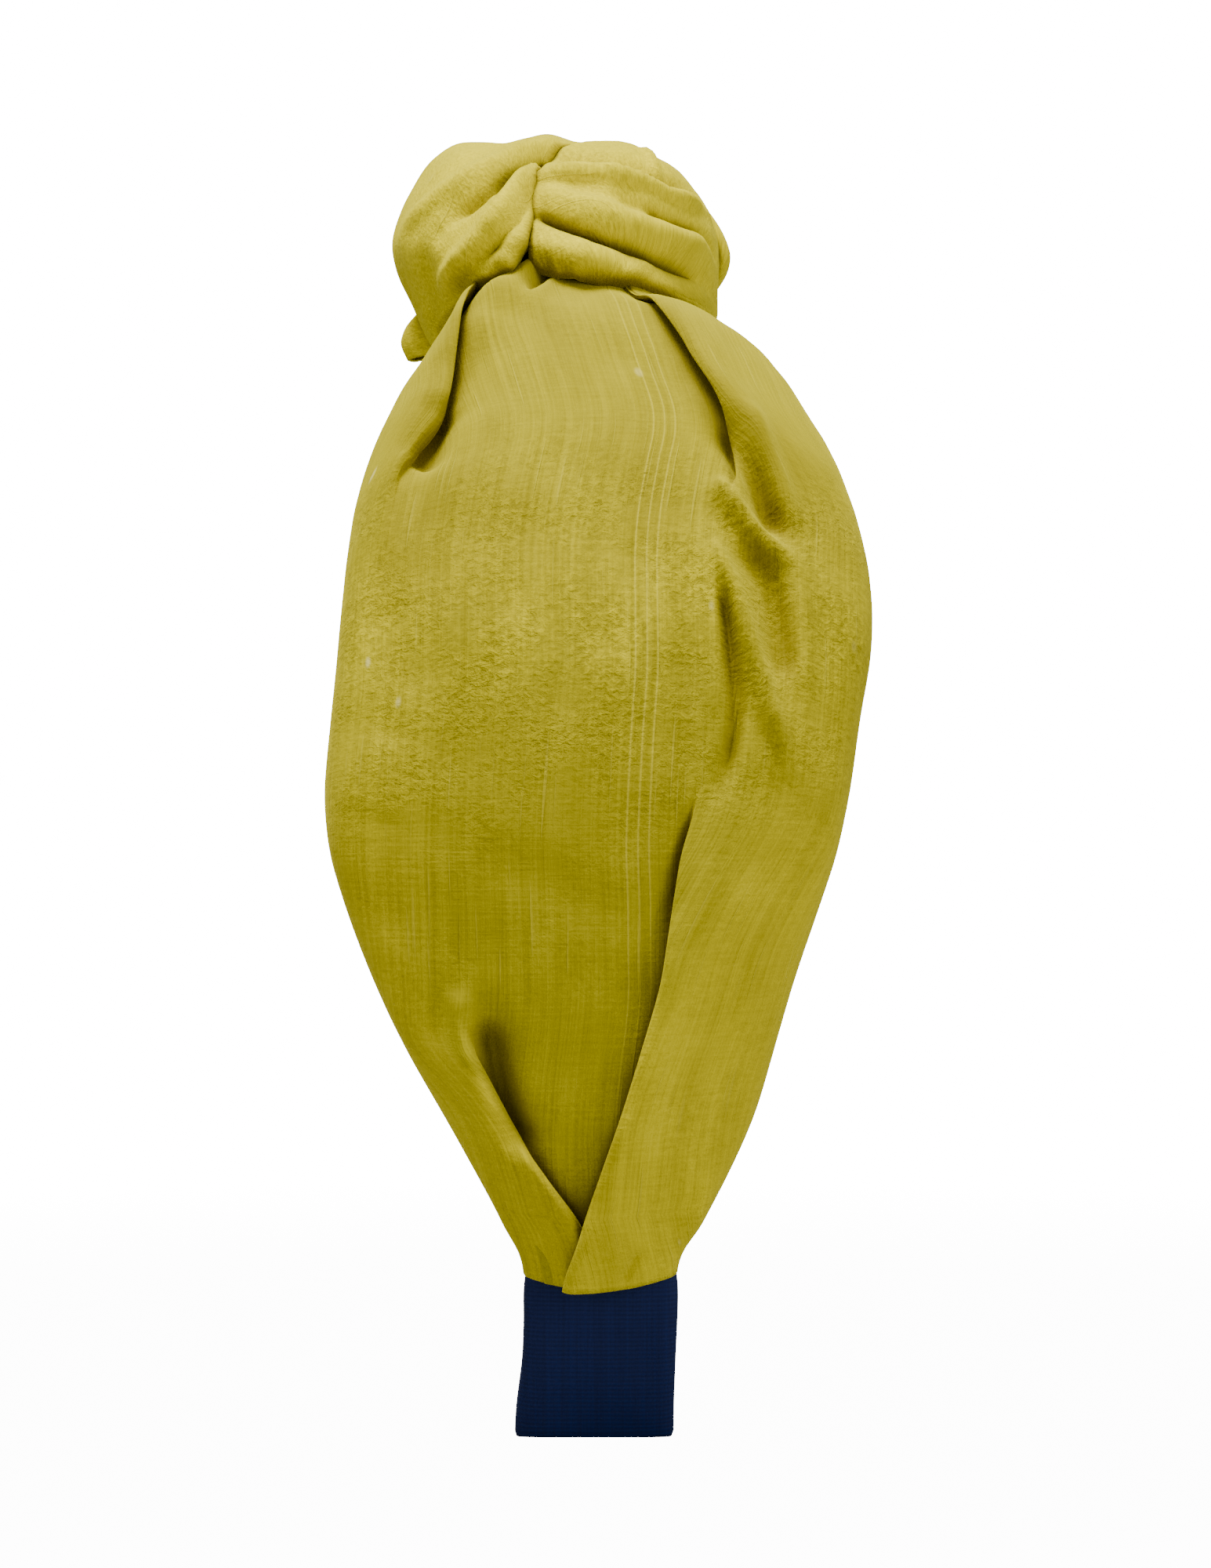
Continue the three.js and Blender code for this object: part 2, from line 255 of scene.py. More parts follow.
# The back pleat.
back_fold = profile(
    (0, -4), (19, -3.8), (28, -1.4), (43, 3.8), (57, 8.1), (72, 10.4), (81, 13.5), (92, 15.8),
    (107, 16.6), (118, 17.6), (123, 17.3), (127, 15.8), (132, 13.4), (139, 10.8), (143, 8.8),
    (149, 6.8), (155, 3.6), (164, 0.5), (176, -1), soft=1.5,
)
back_depth = profile(
    (0, 7.5), (28, 7.5), (43, 6.5), (57, 4.5), (68, 2.6), (78, 0.8), (114, 0.6), (122, 2), (130, 4),
    (150, 5), (176, 5),
)
back_shut = profile(
    (0, 1), (62, 1), (70, 0.8), (80, 0.15), (86, 0), (112, 0), (118, 0.35), (126, 1), (176, 1),
)
back_lift = profile(
    (0, 0.3), (30, 0.4), (50, 0.7), (66, 1.1), (76, 0.5), (84, 0), (112, 0), (121, 1.7), (130, 2.4),
    (140, 1.2), (150, 0), (176, 0),
)

# Soft folds in the outside, as lines of (across the hoop, arc length) with a width and a height.
ARM_FOLDS = [
    ([(16.4, 127), (17.3, 122.5), (19.6, 117.5), (21.4, 113), (23.6, 110.5)], 1.6, -2.9),
    ([(19, 128), (20.4, 124), (22.8, 118), (24.8, 111)], 1.5, 1.4),
    ([(14.6, 118), (16, 114.5), (18.7, 111.3), (21.8, 108.3), (24.6, 106.5)], 1.4, 2.3),
    ([(17.6, 110), (18.9, 107.5), (21, 103.5), (22.3, 98), (22.8, 91)], 1.9, -2.4),
    ([(14.4, 110), (15.4, 106), (17.3, 100.7), (19.6, 94), (21.4, 88), (23.2, 82)], 1.2, 2.4),
    ([(15.3, 104), (15.9, 100.7), (16.6, 94), (17.1, 88), (15.4, 79)], 0.9, -1.9),
    ([(14.2, 108), (14.3, 97), (14.3, 86)], 1.2, 0.8),
    ([(24.9, 112), (25.2, 102), (25.4, 90)], 1.7, 0.7),
    ([(27.5, 106), (28, 94), (28, 82)], 1.4, -0.6),
    ([(-19, 133), (-20.2, 127), (-22.6, 122)], 2.6, -1.8),
    ([(-21.5, 119), (-19.5, 129), (-17.8, 142)], 2.6, -2),
    ([(-16.6, 112), (-16.8, 121), (-17.1, 130)], 0.9, 0.5),
    ([(-25, 104), (-23, 96), (-20, 90)], 3, -0.6),
    ([(-10, 151), (-8.4, 155), (-6.7, 157), (-4.5, 160)], 1.2, 1.2),
    ([(-9.2, 149), (-7.8, 152), (-6.7, 154), (-4.6, 157.5), (-2, 161)], 0.7, -2.2),
    ([(-13, 146), (-9, 154), (-5, 164)], 4.5, 2.8),
    ([(-17, 140), (-14.5, 150), (-12, 162)], 3.5, 2.2),
    ([(4, 149), (9, 157), (11, 168)], 3.5, -1.6),
    ([(-13, 54), (-12.4, 50.5), (-11.3, 45), (-9.6, 40), (-7.4, 36)], 1.9, -3.4),
    ([(-16.4, 57), (-16, 51), (-14.8, 46)], 1.6, 1.1),
    ([(9.5, 62), (12, 74), (16, 84)], 1.6, -0.9),
    ([(26, 60), (29, 74), (29, 84)], 3, 0.7),
    ([(-27, 76), (-24, 86)], 4, 0.5),
    ([(3.4, 19), (5.4, 24)], 0.6, -0.7),
    ([(12, 27), (14.5, 34)], 1.5, 0.8),
]


# The front pleat from the front edge on: the share of the way to its fold, the rise of the flap there, and
# the steps to the next point.
FRONT_FLAP = ((0.04, 0, 4), (0.16, 0.15, 5), (0.38, 0.45, 6), (0.6, 0.7, 6), (0.8, 0.9, 5))
# Then the turn beneath the fold: the place when the pleat is open, its place when it is shut, the rise, the
# share of the lift, and the steps. A shut place under SHUT_NEAR is in millimetres, and a larger one is
# counted in depths of the pleat.
SHUT_NEAR = 0.4
FRONT_TURN = ((0.0, 0.25, 0.95, 0.75, 4), (0.6, -0.5, 0.5, 0.4, 4), (1.1, -0.93, 0.3, 0.05, 4),
              (1.6, -1.05, 0.15, 0, 4), (2.2, -0.85, 0, 0, 5))
# The back pleat has the same parts in the other order.
BACK_TURN = ((-2.2, 0.85, 0, 0, 4), (-1.6, 1.05, 0.15, 0, 4), (-1.1, 0.93, 0.35, 0.05, 4),
             (-0.6, 0.5, 0.75, 0.4, 4), (0.0, -0.25, 1.5, 0.75, 4))
BACK_FLAP = ((0.2, 0.9, 6), (0.4, 0.6, 6), (0.62, 0.3, 5), (0.84, 0.1, 4), (0.96, 0, 4))
FRONT_STAND = 1.5  # how far a shut front flap stands off the panel beneath it
BACK_STAND = 1.9
STACKED = 1.3  # how much more the back flap stands off near the tip, where it lies on the front one
TURNED_IN = 4.5  # how near the middle of the hoop's inside the cloth's edges end
PLEAT_EDGE = 3.2  # from an open fold to the panel between the pleats
SHUT_EDGE = 0.4  # the same when the pleat is shut


def pocket_depth(arc):
    """Half the height of the pocket round the core, which is deeper where the tip's ribbon lies in it too."""
    return 1.1 + 1.0 * (1 - blend_in(27, 33, arc))


def cloth_across(arc):
    """The control points of the cloth's line at each arc length, and the steps to take between them."""
    front, back = front_edge(arc), back_edge(arc)
    top, fall = top_height(arc), edge_fall(arc)
    middle, half = (front + back) / 2, (back - front) / 2
    under = -pocket_depth(arc) - 0.5
    stacked = STACKED * (1 - blend_in(26, 32, arc))
    tuck = 1 - 0.75 * blend_in(142, 154, arc)

    def outside(y):
        share = np.clip((y - middle) / half, -1, 1)
        return fall + (top - fall) * (1 - share ** 2) ** 0.4

    def beneath(y):
        edge = np.abs(y / np.where(y < 0, front, back))
        return under + (np.minimum(fall - 1.3, under) - under) * blend_in(0.35, 1, edge)

    points, steps = [], []

    def add(y, n, count):
        y = y + np.zeros_like(arc)
        points.append(np.stack([y, n + np.zeros_like(arc)], -1))
        steps.append(count)

    def mixed(a, b, t):
        return a + (b - a) * t

    def turned_place(fold, open_y, shut_y, deep, shut):
        folded = fold + (shut_y if abs(shut_y) < SHUT_NEAR else deep * shut_y)
        return mixed(fold + open_y, folded, shut)

    for t, count in ((0, 4), (0.4, 4), (0.75, 5), (0.96, 4)):
        y = mixed(-TURNED_IN, front, t)
        add(y, beneath(y), count)
    add(front, fall - 0.3, 4)

    fold, deep, shut, lift = front_fold(arc), front_depth(arc), front_shut(arc), front_lift(arc)
    for t, rise, count in FRONT_FLAP:
        y = mixed(front, fold, t)
        add(y, outside(y) + shut * FRONT_STAND * rise + lift * rise ** 2, count)
    add(fold - 0.6, outside(fold - 0.6) + shut * FRONT_STAND + lift, 4)
    for open_y, shut_y, rise, stand, count in FRONT_TURN:
        y = turned_place(fold, open_y, shut_y, deep, shut)
        add(y, outside(y) + shut * rise + lift * stand, count)
    front_panel = mixed(fold + PLEAT_EDGE, fold + SHUT_EDGE, shut)

    fold, deep, shut, lift = back_fold(arc), back_depth(arc), back_shut(arc), back_lift(arc)
    back_panel = mixed(fold - PLEAT_EDGE, fold - SHUT_EDGE, shut)
    panel_end = np.maximum(back_panel, front_panel + 0.8)
    for t, count in ((0, 6), (0.25, 7), (0.5, 7), (0.75, 7)):
        y = mixed(front_panel, panel_end, t)
        add(y, outside(y), count)
    add(panel_end, outside(back_panel), 5)

    for open_y, shut_y, rise, stand, count in BACK_TURN:
        y = turned_place(fold, open_y, shut_y, deep, shut)
        add(y, outside(y) + shut * (rise + stacked * blend_in(0, 1.2, rise)) * tuck + lift * stand, count)
    add(fold + 0.6, outside(fold + 0.6) + shut * (BACK_STAND + 0.2 + stacked) * tuck + lift, 5)
    for t, rise, count in BACK_FLAP:
        y = mixed(fold, back, t)
        add(y, outside(y) + shut * (BACK_STAND + stacked) * rise * tuck + lift * rise ** 2, count)
    add(back, fall - 0.3, 4)
    for t, count in ((0.96, 5), (0.75, 4), (0.4, 4), (0, 0)):
        y = mixed(TURNED_IN, back, t)
        add(y, beneath(y), count)
    return np.stack(points, 1), steps[:-1]


ARM_ROWS = 200
BEFORE_PANEL = 60  # the columns before the panel between the pleats
HEM = (0.7, 1.7)  # how far the hem climbs at its sides and in its middle
ACROSS_HEM = 9


def facing_way(points, facing):
    """The left arm's points for 1, or turned half round the upright axis, for the right arm, for -1."""
    return points * np.array([facing, facing, 1])


def arm_velvet(name, facing, seed):
    """The velvet round one arm, one sheet with both pleats."""
    arc = np.linspace(VELVET_START, HALF - CROWN_GAP, ARM_ROWS)
    controls, steps = cloth_across(arc)
    line = smooth_rows(controls, steps)
    y, n = line[..., 0], line[..., 1]
    arcs = np.repeat(arc[:, None], y.shape[1], 1)
    places = np.stack([y, arcs], -1)
    outer = blend_in(-1.5, 1.5, n - (edge_fall(arcs) + 0.5))
    n = n + outer * fold_height(places, ARM_FOLDS)
    n = n + outer * 0.22 * waves(places, seed, 16) + outer * 0.06 * waves(places, seed + 1, 5)
    near_tip = 1 - blend_in(VELVET_START, VELVET_START + 9, arcs)
    arcs = arcs + near_tip * (HEM[0] * (y / ACROSS_HEM) ** 2 + HEM[1])
    across = cloth_lengths(line)
    middle = np.argmin(np.abs(y) + 100 * (np.arange(y.shape[1]) < BEFORE_PANEL), axis=1)
    across = across - across[:, np.median(middle).astype(int)][:, None]
    return grid_mesh(name, facing_way(on_hoop(arcs, y, n), facing), np.stack([across, arcs], -1))


# ---------------------------------------------------------------- the knot

SQUARENESS = 2.7  # 2 would make the knot round from front to back, and more makes it squarer
DEGREE_MM = 0.4  # what a degree of swing or lean measures on the knot
RADIUS_MM = 24.0  # the knot's middling radius, by which a share of it becomes millimetres
KNOT_FOLD = 1.35  # how much deeper the knot's folds are than their listed heights
UNDER_DIP = 0.3  # how far the lower strand dips beneath the upper one, as a share of the radius
KNOT_CLOTH_FROM = 200  # where the knot's cloth starts along the strip, which keeps it apart from the arms'
STRAND_ROWS = 212

# One strand's section, from under its +X edge over its outside to under its other edge: the place as a share
# of half the width, the height as a share of the depth, and the steps to the next point.
STRAND_SECTION = [
    (0.35, 0.0, 3), (0.75, 0.1, 4), (0.94, 0.45, 6), (0.99, 0.76, 5), (1.0, 0.9, 6), (0.955, 0.98, 16),
    (0.8, 1.0, 22), (0.5, 1.02, 28), (0.0, 1.03, 28), (-0.5, 1.02, 22), (-0.8, 1.0, 16), (-0.955, 0.98, 6),
    (-1.0, 0.9, 5), (-0.99, 0.76, 6), (-0.94, 0.45, 4), (-0.75, 0.1, 3), (-0.35, 0.0, 0),
]


def dome(swing, lean, share):
    """Points of the knot: swing towards the back, lean towards +X, in degrees, and a share of its radius."""
    a, b = np.radians(swing), np.radians(lean)
    square = (np.abs(np.sin(a)) ** SQUARENESS + np.abs(np.cos(a)) ** SQUARENESS) ** (-1 / SQUARENESS)
    x = share * KNOT_RADIUS[0] * np.sin(b)
    y = KNOT_Y + share * square * KNOT_RADIUS[1] * np.cos(b) * np.sin(a)
    z = KNOT_Z + share * square * KNOT_RADIUS[2] * np.cos(b) * np.cos(a)
    return np.stack([x, y, z], -1)


def half_turned(folds):
    """The same folds on the other side of the knot, which looks alike from both sides."""
    return [([(-a, -b) for a, b in line], width, height) for line, width, height in folds]


def strand(name, edge, outside, depth, folds, reach, seed, under=None):
    """One strand of the knot, a sheet rolled over the dome. Edge is the lean of its +X side by swing, and its
    other side is the same one turned half round. Under is the edge of the strand that it dips beneath."""
    swing = np.linspace(-reach, reach, STRAND_ROWS)
    near, far = edge(swing), -edge(-swing)
    middle, half = (near + far) / 2, (near - far) / 2
    top, deep = outside(swing), depth(np.abs(swing))
    controls = [np.stack([middle + half * f, top - deep * (1 - h)], -1) for f, h, _ in STRAND_SECTION]
    to_mm = np.array([DEGREE_MM, RADIUS_MM])
    steps = [count for _, _, count in STRAND_SECTION[:-1]]
    section = smooth_rows(np.stack(controls, 1) * to_mm, steps) / to_mm
    lean, share = section[..., 0], section[..., 1]
    swings = np.repeat(swing[:, None], lean.shape[1], 1)
    places = np.stack([swings, lean], -1) * DEGREE_MM
    lines = [(np.array(line) * DEGREE_MM, width, height) for line, width, height in folds]
    outer = blend_in(0.3, 0.7, (share - (top - deep)[:, None]) / deep[:, None])
    height = fold_height(places, lines) + 0.07 * waves(places, seed, 8) + 0.02 * waves(places, seed + 1, 3)
    smooth = dome(swings, lean, share)
    share = share + outer * KNOT_FOLD * height / RADIUS_MM
    if under is not None:
        inside = np.minimum(under(swings) - lean, lean + under(-swings))
        share = share - outer * UNDER_DIP * blend_in(-5, 5, inside)
    across = cloth_lengths(smooth)
    across = across - across[:, across.shape[1] // 2][:, None]
    along = cloth_lengths(smooth.transpose(1, 0, 2)).T
    return grid_mesh(name, dome(swings, lean, share), np.stack([across, along + KNOT_CLOTH_FROM], -1))


# The knot's folds, as lines of (swing, lean) in degrees with a width and a height in millimetres.
OVER_FOLDS = [
    ([(2, 18), (-8, 26), (-19, 30), (-30, 39), (-41, 40), (-53, 34), (-66, 18)], 1.3, 0.8),
    ([(-1, 24), (-9, 31), (-20, 39), (-31, 47), (-43, 49), (-58, 44)], 1.2, -1.3),
    ([(-5, 30), (-13, 35), (-21, 40), (-27, 47), (-33, 54)], 0.6, -1.2),
    ([(-6, 31), (-12, 37), (-22, 47), (-34, 57), (-50, 59), (-68, 53), (-82, 34)], 1.3, 1.2),
    ([(-13, 42), (-18, 50), (-30, 61), (-47, 64), (-66, 60)], 0.8, -0.6),
    ([(-62, 38), (-74, 38), (-88, 20)], 2.0, -0.5),
    ([(-20, 4), (-50, -8)], 1.8, -0.6),
]
UNDER_FOLDS = [
    ([(-10, 29), (1, 31), (15, 34), (28, 34), (38, 31), (47, 18)], 1.9, -1.3),
    ([(24, 16), (28, 20), (33, 27), (39, 30)], 0.6, 0.6),
    ([(-18, 42), (-8, 42), (7, 42), (21, 42), (33, 38), (44, 30), (53, 12)], 0.8, 1.4),
    ([(-8, 47), (-3, 48), (18, 51), (36, 48), (49, 39), (59, 24)], 1.7, -0.7),
    ([(38, 45), (47, 43), (54, 34), (59, 26), (66, 16)], 0.7, -1.3),
    ([(-22, 50), (-9, 51), (13, 55), (36, 55), (54, 45), (63, 31), (74, 14)], 1.9, 0.9),
    ([(-28, 55), (-17, 58), (2, 63), (30, 65), (53, 58), (66, 46), (76, 24)], 1.0, -1.5),
    ([(-40, 62), (-26, 67), (-12, 70), (27, 73), (57, 67), (71, 55), (79, 39), (82, 24)], 1.7, 0.7),
]

# Each strand's edge, as the lean of its +X side by swing, and how far out it lies, as a share of the radius.
over_edge = profile(
    (-106, 10), (-96, 14), (-88, 24), (-84, 40), (-77, 55), (-67, 65), (-52, 70), (-33, 67), (-24, 60),
    (-17, 49), (-14, 42), (-11, 35), (-6, 27), (0, 17), (8, 10), (20, 6), (45, 2), (90, 0), (106, 0),
    soft=1.5,
)
under_edge = profile(
    (-106, 2), (-84, 8), (-66, 30), (-56, 58), (-45, 69), (-30, 74), (-13, 77), (25, 78), (51, 76),
    (64, 69), (73, 60), (79, 47), (82, 28), (90, 14), (106, 8), soft=1.5,
)
over_reach = profile(
    (-106, 0.7), (-98, 0.76), (-90, 0.83), (-82, 0.895), (-77, 0.945), (-72, 1.01), (-66, 1.07),
    (-53, 1.085), (-42, 1.1), (-34, 1.1), (-21, 1.015), (-6, 1.04), (2, 1), (20, 0.995), (43, 0.955),
    (59, 0.985), (66, 1.005), (71, 0.96), (76, 0.86), (90, 0.78), (106, 0.7), soft=1.5,
)
under_reach = profile(
    (-106, 0.84), (-100, 0.92), (-93, 0.98), (-88, 0.95), (-82, 0.86), (-70, 0.9), (-50, 0.95),
    (-20, 0.97), (0, 1), (20, 1.015), (31, 0.99), (43, 0.96), (60, 0.935), (70, 0.9), (77, 0.875),
    (84, 0.87), (94, 0.84), (106, 0.76), soft=1.5,
)


# ---------------------------------------------------------------- the ribbon at the tips and inside

TIP_ROUND = ((0, 0.0, 0.0), (0, 0.8, 0.4), (0, 0.93, 0.75), (0.25, 0.985, 0.93), (0.8, 1.0, 1.0))
TIP_ROWS, TIP_COLUMNS, TIP_REACH = 46, 72, 27
BACK_OFFSET = 40  # keeps the ribbon's two faces apart in the cloth coordinates


def signed_power(value, power):
    return np.sign(value) * np.abs(value) ** power


def tip_ribbon(name, facing, seed):
    """The ribbon folded over one tip, drawn in at the velvet's edge and spread a little at the bottom."""
    width = profile((0, 9.4), (4, 9.3), (10, 9.0), (15, 9.0), (19, 9.1), (27, 8.0), soft=1.2)
    shift = profile((0, -0.1), (4, 0), (10, 0.5), (15, 0.7), (27, 0.8), soft=1.2)
    thick = profile((0, 1.75), (8, 1.75), (17, 1.7), (27, 1.6), soft=1.2)
    # The rounded bottom edge: the arc length, and the shares of the width and the thickness there.
    low_arc, low_width, low_thick = np.array(TIP_ROUND).T
    arc = np.concatenate([low_arc, np.linspace(1.6, TIP_REACH, TIP_ROWS)])
    share = np.concatenate([low_width, np.ones(TIP_ROWS)])
    corner = np.concatenate([low_thick, np.ones(TIP_ROWS)])
    angle = np.linspace(0, 2 * math.pi, TIP_COLUMNS, endpoint=False)
    across, rise = signed_power(np.cos(angle), 0.35), signed_power(np.sin(angle), 0.6)
    y = width(arc)[:, None] * across * share[:, None] + shift(arc)[:, None]
    n = thick(arc)[:, None] * rise * corner[:, None]
    arcs = np.repeat(arc[:, None], TIP_COLUMNS, 1)
    behind = BACK_OFFSET * (n < 0)
    middle = 1 - np.abs(across) ** 4
    uneven = 0.12 * waves(np.stack([y, arcs + behind], -1), seed, 9) * np.minimum(arcs / 2, 1)
    n = n + np.sign(n) * middle * uneven
    low = np.maximum(0, 0.18 * np.sin(y * 0.55 + seed) + 0.1) * np.clip(1 - arcs / 3, 0, 1)
    points = on_hoop(arcs + low, y, n)
    points[..., 2] = np.maximum(points[..., 2], 0.02)
    uv = np.stack([y + BACK_OFFSET * (n < 0), arcs], -1)
    return grid_mesh(name, facing_way(points, facing), uv, closed=True)


LINING_ROWS, LINING_COLUMNS = 330, 25
LINING_HALF_WIDTH = 6.5
LINING_ENDS = 5


def lining(name):
    """The ribbon glued along the head's side from tip to tip, over the velvet's turned-in edges."""
    arc = np.linspace(LINING_ENDS, 2 * HALF - LINING_ENDS, LINING_ROWS)
    near = np.minimum(arc, 2 * HALF - arc)
    covered = blend_in(VELVET_START - 5, VELVET_START - 1, near)
    depth = pocket_depth(near) + covered * 1.15 + 0.1
    across = np.linspace(-1, 1, LINING_COLUMNS)
    y = LINING_HALF_WIDTH * across[None, :] + 0 * arc[:, None]
    places = np.stack([y, np.repeat(arc[:, None], LINING_COLUMNS, 1)], -1)
    bulge = 0.1 * (1 - np.abs(across) ** 6)[None, :]
    n = -depth[:, None] - bulge + 0.05 * waves(places, 21, 12)
    points = on_hoop(np.repeat(near[:, None], LINING_COLUMNS, 1), y, n)
    points[..., 0] *= np.where(arc <= HALF, 1.0, -1.0)[:, None]
    return grid_mesh(name, points, places)


# ---------------------------------------------------------------- materials

class Nodes:
    """Adds nodes to a tree and wires them up."""

    def __init__(self, tree):
        self.tree = tree

    def add(self, kind, inputs=None, **settings):
        node = self.tree.nodes.new("ShaderNode" + kind)
        for key, value in settings.items():
            setattr(node, key, value)
        for key, value in (inputs or {}).items():
            self.put(node.inputs[key], value)
        return node

    def put(self, socket, value):
        if isinstance(value, bpy.types.NodeSocket):
            self.tree.links.new(value, socket)
        else:
            socket.default_value = value

    def math(self, operation, a, b=0.0, clamp=False):
        node = self.add("Math", operation=operation, use_clamp=clamp)
        self.put(node.inputs[0], a)
        self.put(node.inputs[1], b)
        return node.outputs[0]

    def ramp(self, value, low, high, to_low=0.0, to_high=1.0):
        """A soft step from one value to another as the input goes from low to high."""
        ends = {"Value": value, "From Min": low, "From Max": high, "To Min": to_low, "To Max": to_high}
        return self.add("MapRange", ends, interpolation_type="SMOOTHSTEP").outputs["Result"]

    def add_up(self, first, *parts):
        """The first value, plus each further value times its weight."""
        total = first
        for value, weight in parts:
            total = self.math("ADD", total, self.math("MULTIPLY", value, weight))
        return total

    def mix(self, share, a, b):
        node = self.add("Mix", data_type="RGBA")
        self.put(node.inputs["Factor"], share)
        self.put(node.inputs["A"], a)
        self.put(node.inputs["B"], b)
        return node.outputs["Result"]

    def stretched(self, vector, across, along):
        return self.add("Mapping", {"Vector": vector, "Scale": (across, along, 1)}).outputs["Vector"]

    def noise(self, vector, scale, detail=2.0, rough=0.5, distortion=0.0):
        grain = {"Scale": scale, "Detail": detail, "Roughness": rough, "Distortion": distortion}
        return self.add("TexNoise", {"Vector": vector, **grain}).outputs["Fac"]


def group(name, inputs, outputs, build):
    """A shader node group with named inputs and outputs, filled in by the build function."""
    tree = bpy.data.node_groups.new(name, "ShaderNodeTree")
    for label, kind, value in inputs:
        socket = tree.interface.new_socket(label, in_out="INPUT", socket_type=kind)
        if value is not None:
            socket.default_value = value
    for label, kind in outputs:
        tree.interface.new_socket(label, in_out="OUTPUT", socket_type=kind)
    nodes = Nodes(tree)
    start = tree.nodes.new("NodeGroupInput")
    end = tree.nodes.new("NodeGroupOutput")
    for label, value in build(nodes, start.outputs).items():
        nodes.put(end.inputs[label], value)
    return tree


def build_threads(nodes, given):
    """Threads that run along the strip, crossed by fine ones, with a slub here and there."""
    long_fine = nodes.noise(nodes.stretched(given["Vector"], 2600, 40), 1, 3, 0.6)
    long_broad = nodes.noise(nodes.stretched(given["Vector"], 700, 18), 1, 2, 0.5)
    cross = nodes.noise(nodes.stretched(given["Vector"], 130, 2400), 1, 2, 0.6)
    slubs = nodes.ramp(nodes.noise(nodes.stretched(given["Vector"], 1500, 55), 1, 1, 0.4), 0.66, 0.76)
    threads = nodes.add_up(nodes.math("MULTIPLY", long_fine, 0.5), (long_broad, 0.3), (cross, 0.2))
    return {"Threads": threads, "Slubs": slubs}


THREADS = group("woven threads", [("Vector", "NodeSocketVector", None)],
                [("Threads", "NodeSocketFloat"), ("Slubs", "NodeSocketFloat")], build_threads)


def new_material(name):
    material = bpy.data.materials.new(name)
    material.use_nodes = True
    material.node_tree.nodes.clear()
    nodes = Nodes(material.node_tree)
    shader = nodes.add("BsdfPrincipled")
    end = nodes.add("OutputMaterial")
    material.node_tree.links.new(shader.outputs[0], end.inputs[0])
    return material, nodes, shader


# The velvet's colours come as painted lit and shaded copies. Where the nap is brushed up it is painted pale,
# as light and sheen from the overhead lamp, and elsewhere it is painted deep, as shade.
LIT_NAP_LOW, LIT_NAP_HIGH = (0.22, 0.18, 0.0, 1), (0.41, 0.342, 0.0, 1)
# Painted light and sheen: the brightest lit copies, for the knot and the lower arm.
BRIGHTEST_LIT_LOW, BRIGHTEST_LIT_HIGH = (0.47, 0.385, 0.0, 1), (0.86, 0.72, 0.0, 1)
SHADED_NAP_LOW, SHADED_NAP_HIGH = (0.28, 0.235, 0.0, 1), (0.45, 0.385, 0.001, 1)
# Painted shade, darker towards the middle of the arm.
MIDDLE_SHADE = (0.12, 0.09, 0.0, 1)
BRUSHED_DOWN = (0.2, 0.155, 0.0, 1)
# Painted shade for the creases.
CREASE_SHADE = (0.13, 0.095, 0.0, 1)
# Painted sheen for the rim.
SHEEN_RIM_COLOUR = (0.68, 0.59, 0.03, 1)
SLUB = (0.72, 0.62, 0.06, 1)
PRESSED = (0.75, 0.64, 0.06, 1)
LINT = (0.85, 0.77, 0.3, 1)

# Places on the velvet, in metres of cloth along it from the tip.
KNOT_FROM = (0.185, 0.195)  # beyond the arms, where only the knot's cloth lies
# Where the painted light and sheen of the lower arm fades out.
BRIGHTEST_LIT_TO = (0.088, 0.115)
CRUSHED_FROM, CRUSHED_TO = (0.066, 0.088), (0.112, 0.126)
# Where the upper arm's painted light and sheen begins, and where the lower arm's fades out.
UPPER_FROM = (0.088, 0.112)
LOWER_TO = (0.06, 0.09)
PRESSED_AT = (0.0044, 0.0058, 0.0071)  # lines pressed along the arm, by their place across it


def velvet_lint(nodes, uv):
    """A mask of a few specks of lint, one in some of the cells of a loose pattern."""
    cells = nodes.add("TexVoronoi", {"Vector": nodes.stretched(uv, 1, 0.55), "Scale": 210, "Randomness": 1.0})
    near = nodes.ramp(cells.outputs["Distance"], 0.05, 0.15, 1, 0)
    chance = nodes.add("SeparateColor", {"Color": cells.outputs["Color"]}).outputs["Red"]
    return nodes.math("MULTIPLY", near, nodes.ramp(chance, 0.84, 0.87))


def pressed_lines(nodes, across):
    """A mask of the thin lines that the folded cloth was pressed along."""
    mask = 0.0
    for place in PRESSED_AT:
        away = nodes.math("ABSOLUTE", nodes.math("SUBTRACT", across, place))
        mask = nodes.math("MAXIMUM", mask, nodes.ramp(away, 0.00003, 0.0002, 1, 0))
    return mask


def lit_and_sheen_nap(nodes, across, along, patches, crushed):
    """A mask of painted light and sheen where the nap is brushed up: the upper arm, to a ragged limit, and
    the lower arm's two flaps.
    """
    ragged = nodes.math("MULTIPLY", nodes.math("SUBTRACT", patches, 0.5), 0.026)
    ragged = nodes.add_up(ragged, (nodes.math("SUBTRACT", crushed, 0.5), 0.024))
    upper = nodes.ramp(nodes.math("ADD", along, ragged), *UPPER_FROM)
    hidden = nodes.ramp(along, 0.016, 0.042, 0.0095, 0.0155)
    beyond = nodes.math("SUBTRACT", nodes.math("ABSOLUTE", across), hidden)
    side = nodes.ramp(nodes.math("DIVIDE", beyond, nodes.ramp(along, 0.044, 0.06, 0.0014, 0.012)), 0, 1)
    lower = nodes.ramp(along, *LOWER_TO, 1, 0)
    return nodes.math("MAXIMUM", upper, nodes.math("MULTIPLY", side, nodes.ramp(lower, 0, 1, 0.35, 1)))


